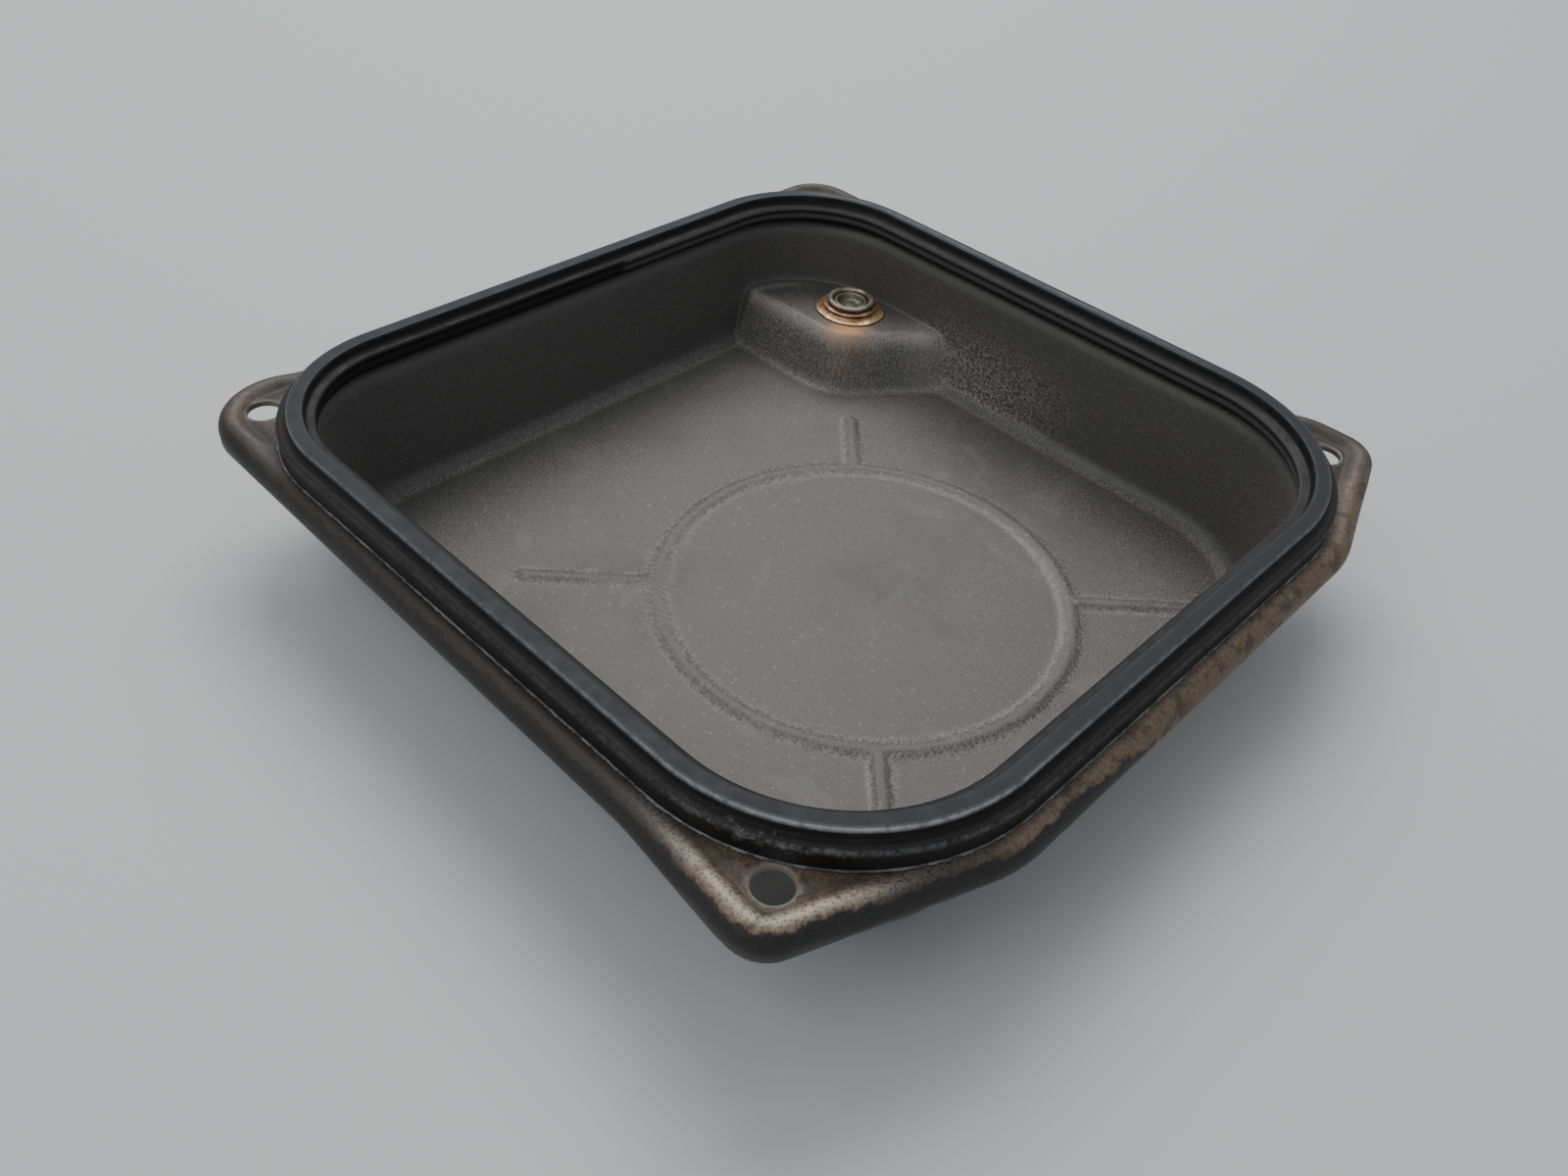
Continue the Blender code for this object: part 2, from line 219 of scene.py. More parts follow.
def ring(frames, out, z):
    """A ring of points at distance out from the mouth's edge."""
    spots, ways = frames
    out = np.broadcast_to(np.asarray(out, float), (len(spots),))
    z = np.broadcast_to(np.asarray(z, float), (len(spots),))
    xy = spots + ways * out[:, None]
    return np.column_stack([xy, z])


def distance(xy, spot):
    return np.linalg.norm(xy - np.array(spot), axis=1)


def path_distance(xy, path):
    """Signed distance to a closed path, negative inside."""
    best = np.full(len(xy), 1e9)
    inside = np.zeros(len(xy), bool)
    for i in range(len(path)):
        a, b = path[i - 1], path[i]
        u = b - a
        t = np.clip(((xy - a) @ u) / max(u @ u, 1e-12), 0, 1)
        best = np.minimum(best, np.linalg.norm(xy - a - t[:, None] * u, axis=1))
        crosses = (a[1] > xy[:, 1]) != (b[1] > xy[:, 1])
        if a[1] != b[1]:
            inside ^= crosses & (xy[:, 0] < (b[0] - a[0]) * (xy[:, 1] - a[1]) / (b[1] - a[1]) + a[0])
    return np.where(inside, -best, best)


def mouth_distance(xy):
    """Signed distance to the mouth's edge, negative inside."""
    best = np.full(len(xy), 1e9)
    for sx, sy, radius in CORNERS:
        here = (xy[:, 0] * sx >= 0) & (xy[:, 1] * sy >= 0)
        q = np.column_stack([xy[:, 0] * sx, xy[:, 1] * sy]) - (MOUTH - radius)
        far = np.linalg.norm(np.maximum(q, 0), axis=1) + np.minimum(q.max(axis=1), 0) - radius
        best = np.where(here, far, best)
    return best


# ---------------------------------------------------------------- the pressing


def bead_distance(xy):
    """Distance from the middle line of the floor's circle and ribs."""
    p = xy - np.array([0.0, BEAD_Y])
    best = np.abs(np.linalg.norm(p, axis=1) - BEAD_R)
    for number, far in enumerate(RIB_REACH):
        angle = math.radians(45 + 90 * number)
        way = np.array([math.cos(angle), math.sin(angle)])
        t = np.clip(p @ way, BEAD_R, far - 3)
        best = np.minimum(best, np.linalg.norm(p - t[:, None] * way, axis=1))
    return best


def pressed_floor(points, inside):
    """Raises the floor's beads and the drain platform.

    inside is 0 for the upper face, or the sheet's thickness for the lower one.
    """
    xy = points[:, :2]
    z = points[:, 2]
    slim = 0.75 if inside else 0.0
    bead = BEAD_RISE * (1 - smooth((bead_distance(xy) - 0.7 + slim / 3) / (2.9 - slim)))
    z = z + np.where(mouth_distance(xy) < WALL_FOOT - FOOT_R * 0.7, bead, 0.0)
    top = DRAIN_TOP - inside
    foot = path_distance(xy, rounded(DRAIN_FOOT, DRAIN_FOOT_R, 10)) + inside
    slope = (DRAIN_TOP - FLOOR) / DRAIN_LEAN
    side = top - (foot + DRAIN_LEAN) * slope
    platform = -soft_max(-side, np.full(len(z), -top), DRAIN_CREST)
    low = z < 30
    z[low] = soft_max(z[low], platform[low], DRAIN_BLEND)
    return np.column_stack([xy, z])


def shell_half(frames, inside, floor_rings):
    """Rings of the sheet's upper or lower face, from the skirt's foot to the middle of the floor."""
    edge = reach(frames, skirt_path(0.0))
    rises = smooth((edge - 16.0) / 6.0) * RIDGE
    bend = SKIRT_R - inside
    rings = []

    def skirt_ring(inset, z, least=5.7):
        far = np.maximum(reach(frames, skirt_path(inset)), least)
        rings.append(ring(frames, far, z))

    if not inside:
        skirt_ring(0.35, SKIRT_FOOT)
        skirt_ring(0.08, SKIRT_FOOT + 0.12)
        skirt_ring(0.0, SKIRT_FOOT + 0.4)
    else:
        skirt_ring(inside - 0.3, SKIRT_FOOT)
        skirt_ring(inside, SKIRT_FOOT + 0.3)
    for turn in np.linspace(90, 0, 3 if inside else 9):
        s, c = math.sin(math.radians(turn)), math.cos(math.radians(turn))
        skirt_ring(SKIRT_R - bend * s, SEAT - SKIRT_R + bend * c + rises)
    steps = 4 if inside else 10
    for i in range(1, steps + 1):
        part = i / steps
        fall = rises * (1 - smooth(part)) - 0.35 * smooth(rises / RIDGE) * math.sin(math.pi * part**2.5)
        skirt_ring(SKIRT_R + 4.9 * part, SEAT - inside + fall, 6.6 - 0.08 * i)
    outer = np.linalg.norm(rings[-1][:, :2] - frames[0], axis=1)
    for part in (0.35, 0.7):
        rings.append(ring(frames, outer * (1 - part) + 5.4 * part, SEAT - inside))
    section = [(FLOOR_REACH, FLOOR), (WALL_FOOT, FLOOR), (WALL_TOP, SEAT), (SEAT_REACH, SEAT)]
    if inside:
        lean = math.atan2(SEAT - FLOOR, WALL_TOP - WALL_FOOT)
        foot = WALL_FOOT + inside * (1 / math.sin(lean)) - inside / math.tan(lean)
        top = WALL_TOP + inside * (1 / math.sin(lean)) - inside / math.tan(lean)
        low, high = FLOOR - inside, SEAT - inside
        section = [(FLOOR_REACH, low), (foot, low), (top, high), (SEAT_REACH, high)]
    upper = arc(*section[1:], BEND_R - inside, 10 if not inside else 5)
    lower = arc(*section[:3], FOOT_R + inside, 9 if not inside else 5)
    wall = 12 if not inside else 6
    between = [
        (
            lower[-1][0] + (upper[0][0] - lower[-1][0]) * i / wall,
            lower[-1][1] + (upper[0][1] - lower[-1][1]) * i / wall,
        )
        for i in range(1, wall)
    ]
    for d, z in reversed(lower + between + upper):
        rings.append(ring(frames, d, z))
    last = rings[-1]
    for share in floor_rings:
        rings.append(np.column_stack([last[:, :2] * share, last[:, 2]]))
    return rings


def strips(rings, base):
    """Faces between rings. A ring may have half as many points as the one before it."""
    faces = []
    start = base
    for a, b in zip(rings, rings[1:]):
        after = start + len(a)
        n, m = len(a), len(b)
        if n == m:
            for i in range(n):
                j = (i + 1) % n
                faces.append((start + i, start + j, after + j, after + i))
        else:
            for i in range(m):
                k, j = 2 * i, (i + 1) % m
                faces.append((start + k, start + k + 1, after + i))
                faces.append((start + k + 1, start + (k + 2) % n, after + j, after + i))
        start = after
    return faces


def placed(name, data):
    """A new object of the scene that holds this data."""
    made = bpy.data.objects.new(name, data)
    bpy.context.scene.collection.objects.link(made)
    return made


def build_mesh(name, points, faces):
    mesh = bpy.data.meshes.new(name)
    mesh.from_pydata((np.asarray(points) * MM).tolist(), [], faces)
    work = bmesh.new()
    work.from_mesh(mesh)
    bmesh.ops.recalc_face_normals(work, faces=work.faces)
    work.to_mesh(mesh)
    work.free()
    mesh.polygons.foreach_set("use_smooth", [True] * len(mesh.polygons))
    return placed(name, mesh)


def capped_loft(name, rings):
    """A skin through rings, with a flat cap at each end."""
    n = len(rings[0])
    faces = strips(rings, 0)
    faces.append(tuple(range(n)))
    faces.append(tuple(range(len(rings) * n - n, len(rings) * n)))
    return build_mesh(name, np.vstack(rings), faces)


def closed_loft(name, rings):
    """A skin through rings whose section is itself closed."""
    n = len(rings[0])
    faces = []
    for i in range(len(rings)):
        a, b = i * n, (i + 1) % len(rings) * n
        faces += [(a + j, a + (j + 1) % n, b + (j + 1) % n, b + j) for j in range(n)]
    return build_mesh(name, np.vstack(rings), faces)


def halve(rings, keep):
    """Every second point of the rings after the first keep ones."""
    return rings[:keep] + [r[::2] for r in rings[keep:]]


def edge_gap(middle, p, q):
    """How near the edge from p to q comes to a point."""
    foot, part = geometry.intersect_point_line(middle, p, q)
    if 0 < part < 1:
        return (foot.to_2d() - middle).length
    return min((p - middle).length, (q - middle).length)


def drilled(obj, centre, radius, level):
    """Opens a round hole with a slight countersink through both faces of the sheet."""
    work = bmesh.new()
    work.from_mesh(obj.data)
    middle = Vector((centre[0], centre[1], 0)) * MM
    near = []
    for face in work.faces:
        spot = face.calc_center_median()
        if abs(spot.z - level * MM) > 3.2 * MM or (spot - middle).xy.length > (radius + 9) * MM:
            continue
        ends = [v.co.xy for v in face.verts]
        gap = min(edge_gap(middle.xy, p, q) for p, q in zip(ends, ends[1:] + ends[:1]))
        if gap < (radius + HOLE_CLEAR) * MM:
            near.append(face)
    bmesh.ops.delete(work, geom=near, context="FACES")
    while True:
        pinched = [v for v in work.verts if sum(e.is_boundary for e in v.link_edges) > 2]
        if not pinched:
            break
        bmesh.ops.delete(work, geom=list({f for v in pinched for f in v.link_faces}), context="FACES")
    loose = [v for v in work.verts if not v.link_faces]
    bmesh.ops.delete(work, geom=loose, context="VERTS")
    open_edges = [e for e in work.edges if e.is_boundary]
    upper = [e for e in open_edges if e.verts[0].co.z > (level - SHEET / 2) * MM]
    lower = [e for e in open_edges if e.verts[0].co.z <= (level - SHEET / 2) * MM]
    turns = np.linspace(0, 2 * math.pi, HOLE_STEPS + 1)[:-1]
    loops = []
    for r, z in ((radius + 0.3, 0.0), (radius + 0.04, -0.3), (radius, -SHEET + 0.1), (radius + 0.1, -SHEET)):
        verts = []
        for t in turns:
            x, y = middle.x + math.cos(t) * r * MM, middle.y + math.sin(t) * r * MM
            verts.append(work.verts.new((x, y, (level + z) * MM)))
        loops.append([work.edges.new((verts[i - 1], verts[i])) for i in range(HOLE_STEPS)])
    made = []
    for a, b in zip(loops, loops[1:]):
        made += bmesh.ops.bridge_loops(work, edges=a + b)["faces"]
    for a, b in ((upper, loops[0]), (lower, loops[-1])):
        made += bmesh.ops.triangle_fill(work, use_beauty=True, edges=a + b, normal=(0, 0, 1))["geom"]
    for face in made:
        if isinstance(face, bmesh.types.BMFace):
            face.smooth = True
    bmesh.ops.recalc_face_normals(work, faces=work.faces)
    work.to_mesh(obj.data)
    work.free()


def make_shell():
    frames = mouth_frames([100, 64, 72, 64], [66, 50, 50, 98], [1.25, 1, 1, 1])
    outer = np.concatenate([np.linspace(1, 0.62, 38)[1:], np.linspace(0.62, 0.3, 26)[1:]])
    inner = np.linspace(0.3, 0.02, 14)[1:]
    top = shell_half(frames, 0.0, np.concatenate([outer, inner]))
    coarse = len(inner) + 22
    top = halve(top, len(top) - coarse)
    half = (frames[0][::2], frames[1][::2])
    low = shell_half(half, SHEET, np.linspace(1, 0.04, 56)[1:])
    upper = pressed_floor(np.vstack(top), 0.0)
    lower = pressed_floor(np.vstack(low), SHEET)
    faces = strips(top, 0)
    faces.append(tuple(range(len(upper) - len(top[-1]), len(upper))))
    base = len(upper)
    faces += strips(low, base)
    faces.append(tuple(range(base + len(lower) - len(low[-1]), base + len(lower))))
    n, m = len(top[0]), len(low[0])
    for i in range(m):
        k, j = 2 * i, (i + 1) % m
        faces.append((k, k + 1, base + i))
        faces.append((k + 1, (k + 2) % n, base + j, base + i))
    shell = build_mesh("pan_pressing", np.vstack([upper, lower]), faces)
    for spot in HOLES:
        drilled(shell, spot, HOLE_R, SEAT)
    drilled(shell, BUSH, BUSH_HOLE_R, DRAIN_TOP)
    return shell


shell = make_shell()
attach(shell, "pan")
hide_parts("pan_shell")


# ---------------------------------------------------------------- the seal


def make_seal():
    base = SEAT + GAP
    top = HEIGHT
    outline = [
        (0.25, top), (1.2, top), (2.2, top), (3.2, top), (3.95, top - 0.02), (4.25, top - 0.12),
        (4.38, top - 0.4), (4.45, top - 1.4), (4.55, top - 2.4), (4.75, top - 2.9), (5.1, top - 3.08),
        (6.2, top - 3.12), (6.8, top - 3.2), (7.2, top - 3.45), (7.4, top - 3.9), (7.42, top - 5.2),
        (7.36, top - 6.8), (7.42, top - 8.0), (7.5, base + 0.35), (7.42, base + 0.1), (7.1, base),
        (4.0, base), (-0.4, base), (-0.8, base + 0.15), (-1.9, top - 8.1), (-2.35, top - 7.5),
        (-2.6, top - 6.9), (-2.66, top - 6.3), (-2.5, top - 5.6), (-2.2, top - 5.1), (-2.3, top - 4.75),
        (-2.75, top - 4.4), (-2.9, top - 3.9), (-2.82, top - 3.35), (-2.4, top - 2.95), (-1.4, top - 2.8),
        (-0.7, top - 2.7), (-0.35, top - 2.4), (-0.15, top - 1.4), (0.0, top - 0.4), (0.08, top - 0.12),
    ]
    frames = mouth_frames([56, 56, 64, 64], [50, 50, 50, 50], [1, 1, 1, 1])
    rings = [ring(frames, d, z) for d, z in outline]
    return closed_loft("mouth_seal", rings)


seal = make_seal()
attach(seal, "pan")
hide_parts("rim_seal")


def make_flash():
    """The thin crinkled lip that the moulding left round the seal's foot."""
    frames = mouth_frames([300, 300, 340, 340], [260, 260, 260, 260], [1, 1, 1, 1])
    spots = frames[0]
    wave = np.array([noise.noise(Vector((x * 0.55, y * 0.55, 0.0))) for x, y in spots])
    fine = np.array([noise.noise(Vector((x * 2.1, y * 2.1, 9.0))) for x, y in spots])
    out = 7.95 + 0.28 * wave + 0.28 * fine
    lift = SEAT + 0.42 + 0.16 * wave + 0.2 * np.abs(fine)
    rings = [
        ring(frames, 7.3, SEAT + 0.75),
        ring(frames, 7.62, SEAT + 0.62),
        ring(frames, out, lift),
        ring(frames, out - 0.03, lift - 0.14),
        ring(frames, 7.5, SEAT + 0.3),
        ring(frames, 7.2, SEAT + 0.34),
    ]
    return closed_loft("seal_flash", rings)


flash = make_flash()
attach(flash, "pan")


# ---------------------------------------------------------------- bush, braze, plug and washer


def turned_ring(turns, r, z):
    """A ring about the bush's axis."""
    return np.column_stack([BUSH[0] + np.cos(turns) * r, BUSH[1] + np.sin(turns) * r, turns * 0 + z])


def turned(name, profile, steps=128):
    """A turned piece about the bush's axis. A profile that starts on the axis is capped there."""
    turns = np.linspace(0, 2 * math.pi, steps + 1)[:-1]
    rings = [turned_ring(turns, max(r, 0.01), z) for r, z in profile]
    return closed_loft(name, rings) if profile[0][0] > 0 else capped_loft(name, rings)


def softened(profile, radius, steps=4, closed=True):
    """A profile with each corner rounded as far as its sides allow."""
    made = []
    count = len(profile)
    for i in range(count):
        p = Vector(profile[i])
        a, b = Vector(profile[i - 1]), Vector(profile[(i + 1) % count])
        if not closed and i in (0, count - 1):
            made.append(tuple(p))
            continue
        half = (a - p).angle(b - p) / 2
        room = min((a - p).length, (b - p).length) * 0.42
        r = min(radius, room * math.tan(half))
        if half > 1.5 or r < 0.01:
            made.append(tuple(p))
            continue
        made += arc(a, p, b, r, steps)
    return made


top = DRAIN_TOP + BUSH_RISE
below = DRAIN_TOP - BUSH_BELOW
washer_top = below - GAP
washer_foot = washer_top - WASHER
seat = washer_foot - GAP
end = DRAIN_TOP + PLUG_RISE

bush = turned("bush_ring", softened([
    (6.9, top - 0.05), (7.7, top), (8.3, top - 0.45), (8.35, top - 1.0), (7.75, top - 1.35),
    (7.75, top - 1.75), (9.75, top - 1.95), (9.9, top - 2.3), (9.7, top - 2.7), (9.0, top - 2.8),
    (9.0, DRAIN_TOP + GAP), (8.2, DRAIN_TOP + GAP), (8.2, below + 0.3), (7.9, below),
    (6.3, below), (6.3, top - 0.6),
], 0.25))
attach(bush, "pan")
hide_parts("drain_bush")


def make_braze():
    """An uneven run of braze round the bush, thicker on the side away from the corner."""
    low = DRAIN_TOP + GAP
    section = [
        (BRAZE_R, 1.5), (9.5, 1.35), (9.8, 1.15), (10.3, 0.9), (10.9, 0.65), (11.6, 0.45),
        (12.2, 0.28), (12.6, 0.1), (12.5, 0.0), (BRAZE_R, 0.0),
    ]
    steps = 180
    rings = []
    for r, h in section:
        points = []
        for i in range(steps):
            turn = 2 * math.pi * i / steps
            way = Vector((math.cos(turn), math.sin(turn), 0))
            lump = noise.noise(way * 1.6 + Vector((3, 1, h * 0.3)))
            fine = noise.noise(way * 6.0 + Vector((0, 0, h)))
            grown = (r - BRAZE_R) * (0.82 + 0.25 * lump + 0.06 * fine)
            raised = h * (0.95 + 0.14 * lump + 0.06 * fine)
            out = BRAZE_R + grown
            points.append((BUSH[0] + way.x * out, BUSH[1] + way.y * out, low + raised))
        rings.append(np.array(points))
    return closed_loft("braze_run", rings)


braze = make_braze()
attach(braze, "pan")
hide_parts("braze_fillet")

plug = turned("plug_body", softened([
    (0.0, end - 1.9), (1.3, end - 1.85), (1.7, end - 2.2), (3.3, end - 2.2), (4.2, end - 1.7),
    (4.7, end - 0.3), (5.1, end), (5.6, end), (6.0, end - 0.5), (6.0, seat + 0.4), (5.7, seat),
    (9.6, seat), (10.0, seat - 0.4), (10.0, seat - 1.6), (9.6, seat - 2.0), (0.0, seat - 2.0),
], 0.3, closed=False))


def make_head():
    """The hexagon head, with a turned chamfer on its corners and a shallow dish."""
    turns = np.linspace(0, 2 * math.pi, 145)[:-1]
    hexagon = np.minimum(HEX_HALF / np.cos(turns % (math.pi / 3) - math.pi / 6), HEX_ROUND)
    section = [
        (HEX_ROUND, 1.6), (HEX_ROUND, 6.6), (9.3, 7.4), (8.4, 8.15),
        (7.2, 8.2), (5.2, 8.2), (4.8, 7.6), (0.5, 7.4),
    ]
    rings = [turned_ring(turns, np.minimum(hexagon, r), seat - drop) for r, drop in section]
    return capped_loft("plug_head", rings)


head = make_head()
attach(plug, "plug")
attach(head, "plug")
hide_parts("drain_plug")

washer = turned("copper_washer", softened([
    (6.5, washer_top), (9.5, washer_top), (9.5, washer_foot), (6.5, washer_foot),
], 0.45))
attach(washer, "plug")
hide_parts("plug_washer")


# ---------------------------------------------------------------- materials


class Look:
    """A node material in the making."""

    def __init__(self, name):
        self.material = bpy.data.materials.new(name)
        self.material.use_nodes = True
        self.tree = self.material.node_tree
        self.shader = self.tree.nodes["Principled BSDF"]
        self.place = self.tree.nodes.new("ShaderNodeTexCoord").outputs["Object"]

    def _put(self, socket, value):
        if isinstance(value, bpy.types.NodeSocket):
            self.tree.links.new(value, socket)
        elif isinstance(value, tuple) and len(value) == 3 and socket.type == "RGBA":
            socket.default_value = (*value, 1.0)
        else:
            socket.default_value = value

    def attribute(self, name):
        node = self.tree.nodes.new("ShaderNodeAttribute")
        node.attribute_name = name
        return node.outputs["Fac"]

    def noise(self, scale, detail, rough, warp=0.0):
        node = self.tree.nodes.new("ShaderNodeTexNoise")
        self._put(node.inputs["Vector"], self.place)
        node.inputs["Scale"].default_value = scale
        node.inputs["Detail"].default_value = detail
        node.inputs["Roughness"].default_value = rough
        node.inputs["Distortion"].default_value = warp
        return node.outputs["Fac"]

    def sum(self, operation, a, b, clamp=False):
        node = self.tree.nodes.new("ShaderNodeMath")
        node.operation = operation
        node.use_clamp = clamp
        self._put(node.inputs[0], a)
        self._put(node.inputs[1], b)
        return node.outputs[0]

    def fade(self, value, low, high, to_low=0.0, to_high=1.0):
        node = self.tree.nodes.new("ShaderNodeMapRange")
        node.interpolation_type = "SMOOTHSTEP"
        self._put(node.inputs["Value"], value)
        node.inputs["From Min"].default_value = low
        node.inputs["From Max"].default_value = high
        node.inputs["To Min"].default_value = to_low
        node.inputs["To Max"].default_value = to_high
        return node.outputs["Result"]

    def mix(self, a, b, share):
        node = self.tree.nodes.new("ShaderNodeMix")
        node.data_type = "RGBA"
        # Sockets 6 and 7 take the two colours, and output 2 gives the mixed one.
        self._put(node.inputs["Factor"], share)
        self._put(node.inputs[6], a)
        self._put(node.inputs[7], b)
        return node.outputs[2]

    def tint(self, base, tone, mask, share):
        """base, with tone over it where the mask is."""
        return self.mix(base, tone, self.sum("MULTIPLY", self.attribute(mask), share))

    def bump(self, height, strength, distance):
        node = self.tree.nodes.new("ShaderNodeBump")
        node.inputs["Strength"].default_value = strength
        node.inputs["Distance"].default_value = distance
        self._put(node.inputs["Height"], height)
        return node.outputs["Normal"]

    def finish(self, colour, metallic, roughness, normal=None, **more):
        self._put(self.shader.inputs["Base Color"], colour)
        self._put(self.shader.inputs["Metallic"], metallic)
        self._put(self.shader.inputs["Roughness"], roughness)
        if normal is not None:
            self._put(self.shader.inputs["Normal"], normal)
        for key, value in more.items():
            self._put(self.shader.inputs[key.replace("_", " ")], value)
        return self.material


def write_mask(obj, name, values):
    layer = obj.data.attributes.new(name, "FLOAT", "POINT")
    layer.data.foreach_set("value", np.asarray(values, np.float32))


def points_of(obj):
    points = np.empty(len(obj.data.vertices) * 3)
    obj.data.vertices.foreach_get("co", points)
    return points.reshape(-1, 3) / MM


def bell(value, width):
    return np.exp(-((value / width) ** 2))


def flange_masks(obj):
    """Where the flange, its ears, its skirt and its bolt holes are, and where highlights and shade are
    painted on them, for the material.
    """
    points = points_of(obj)
    xy, z = points[:, :2], points[:, 2]
    inset = -path_distance(xy, skirt_path(0.0, 6))
    outside = mouth_distance(xy) > 4.5
    upper = smooth((z - (SEAT - 3.2)) / 2.4) * outside
    ears = [bell(distance(xy, h), 25.0) for h in HOLES]
    right_ear, _, left_ear, front_ear = ears
    ear = np.max(ears, axis=0)
    near_side = smooth((-98.0 - xy[:, 1]) / 12.0)
    front = near_side * smooth((xy[:, 0] + 100.0) / 40.0)
    far_front = near_side * smooth((xy[:, 0] + 60.0) / 60.0)
    # These weights and the crest mask place a painted highlight along the rolled crest of the flange's edge,
    # strongest at the front ear.
    crest_highlight = np.clip(0.03 + front_ear + 0.12 * left_ear + 0.15 * front, 0, 1)
    tan = 0.55 * ear + 0.5 * front_ear + (0.85 - 0.6 * right_ear) * front - 0.05 - 0.2 * right_ear
    write_mask(obj, "crest", bell(inset - 4.6, 1.7) * (z > SEAT - 1.6) * outside * crest_highlight)
    write_mask(obj, "upper_or_skirt", np.clip(upper + outside * (inset < 3.0), 0, 1))
    write_mask(obj, "tan", np.clip(tan, 0, 1))
    # Painted shade in the hollow between the seat and the rolled crest, round the ears.
    write_mask(obj, "gully_shade", bell(inset - 8.6, 1.8) * (z > SEAT - 1.0) * outside * ear)
    # skirt: where the skirt's colour goes, the bare coating painted darker as shade.
    write_mask(obj, "skirt", outside * smooth((2.9 - 2.7 * far_front - inset) / 2.4))
    # lip: a painted highlight along the skirt's bottom edge.
    write_mask(obj, "lip", bell(z - SKIRT_FOOT - 0.15, 0.32) * (inset < 1.1) * outside)
    # A painted highlight on the countersunk rim of each bolt hole.
    hole = np.min([np.abs(distance(xy, h) - HOLE_R - 0.2) for h in HOLES], axis=0)
    write_mask(obj, "hole", bell(hole, 0.35) * outside)


def bowl_masks(obj):
    """Where the bowl's walls and the platform are, what has gathered on them, and where highlights are
    painted on their beads, feet and edges.
    """
    points = points_of(obj)
    xy, z = points[:, :2], points[:, 2]
    mouth = mouth_distance(xy)
    foot = path_distance(xy, rounded(DRAIN_FOOT, DRAIN_FOOT_R, 10))
    open_floor = smooth((-5.6 - mouth) / 3.0)
    drain = smooth((2.0 - foot) / 4.0) * open_floor * (z > 2.2)
    top = smooth((-foot - DRAIN_LEAN + 1.0) / 3.0)
    wall = smooth((z - 2.1) / 3.2) * (mouth > -22) * (mouth < 4.5)
    write_mask(obj, "wall", wall * (1 - drain))
    write_mask(obj, "slope", drain * (1 - top))
    write_mask(obj, "top", drain * top)
    right = smooth((xy[:, 0] - 88.0) / 12.0) * smooth((xy[:, 1] + 30.0) / 50.0)
    low = smooth((34.0 - z) / 22.0) * (z > 2.5) * (mouth < 2.0)
    write_mask(obj, "grit", right * low * smooth((52.0 - xy[:, 1]) / 20.0))
    # Painted highlights: crease along the platform's rounded top edge, shine as a spot of light on the
    # platform, back along the platform's back edge against the wall.
    crease = bell(foot + DRAIN_LEAN + 0.4, 1.8) * (z > DRAIN_TOP - 4) * open_floor
    shine = bell(distance(xy, (104.0, 44.0)), 9.0) * (z < 30) * (mouth < -4)
    back = bell(mouth + 7.6, 1.7) * bell(z - DRAIN_TOP - 0.8, 1.8) * (foot < -3)
    back = back * smooth((98.0 - xy[:, 0]) / 12.0)
    write_mask(obj, "ledge_highlight", crease + shine + 0.9 * back)
    # foot: a painted highlight along the fillets at the foot of the walls and of the platform.
    at_wall = bell(mouth + 9.8, 1.15) * (z < 8) * (foot > 0)
    at_platform = 1.4 * bell(foot - 1.4, 1.3) * (z < 6) * (mouth < -8)
    write_mask(obj, "foot", at_wall + at_platform)
    # bead: a painted highlight along the sides of the floor's circle and ribs.
    write_mask(obj, "bead", bell(bead_distance(xy) - 2.9, 0.85) * (z < 5) * (mouth < -10))
    camera_side = distance(xy, (BUSH[0] - 9.5, BUSH[1] - 8.0))
    write_mask(obj, "stain", bell(camera_side, 6.5) * (z < DRAIN_TOP + 1))


def bowl_colour(look, fine, mottle):
    """The floor, the walls, the platform, painted highlights along the beads, the feet and the platform's
    edges, and the stain beside the bush.
    """
    at = look.attribute
    patch = look.noise(20, 3, 0.55)
    smear = look.noise(34, 3, 0.5, warp=1.6)
    coarse = look.noise(640, 2, 0.6)
    sparkle = look.fade(fine, 0.44, 0.60)
    floor = look.mix((0.082, 0.080, 0.074), (0.168, 0.163, 0.151), look.fade(fine, 0.36, 0.66))
    floor = look.mix(floor, (0.27, 0.262, 0.243), look.fade(coarse, 0.60, 0.72, 0.0, 0.5))
    floor = look.mix(floor, (0.075, 0.073, 0.068), look.fade(patch, 0.48, 0.72, 0.0, 0.45))
    floor = look.mix(floor, (0.18, 0.177, 0.166), look.fade(smear, 0.58, 0.68, 0.0, 0.28))
    # Painted highlights, speckled, along the beads and the feet of the walls and the platform.
    edge = look.sum("ADD", at("bead"), at("foot"), clamp=True)
    edge_highlight = look.sum("MULTIPLY", edge, look.fade(fine, 0.40, 0.56, 0.15, 1.0))
    floor = look.mix(floor, (0.30, 0.288, 0.265), look.sum("MULTIPLY", edge_highlight, 0.75))
    dark = look.mix((0.092, 0.089, 0.083), (0.140, 0.135, 0.125), look.fade(fine, 0.3, 0.7))
    dark = look.tint(dark, (0.38, 0.365, 0.335), "grit", sparkle)
    colour = look.mix(floor, dark, at("wall"))
    slope = look.mix((0.125, 0.121, 0.112), (0.30, 0.29, 0.27), look.fade(fine, 0.40, 0.66))
    colour = look.mix(colour, slope, at("slope"))
    top = look.mix((0.095, 0.092, 0.086), (0.150, 0.145, 0.135), sparkle)
    colour = look.mix(colour, top, at("top"))
    # Painted highlights on the platform's edges.
    colour = look.tint(colour, (0.42, 0.405, 0.375), "ledge_highlight", look.fade(fine, 0.3, 0.6, 0.3, 0.7))
    runs = look.sum("MULTIPLY", at("stain"), look.fade(mottle, 0.30, 0.48))
    return look.mix(colour, (0.60, 0.30, 0.115), look.sum("MULTIPLY", runs, 0.95))


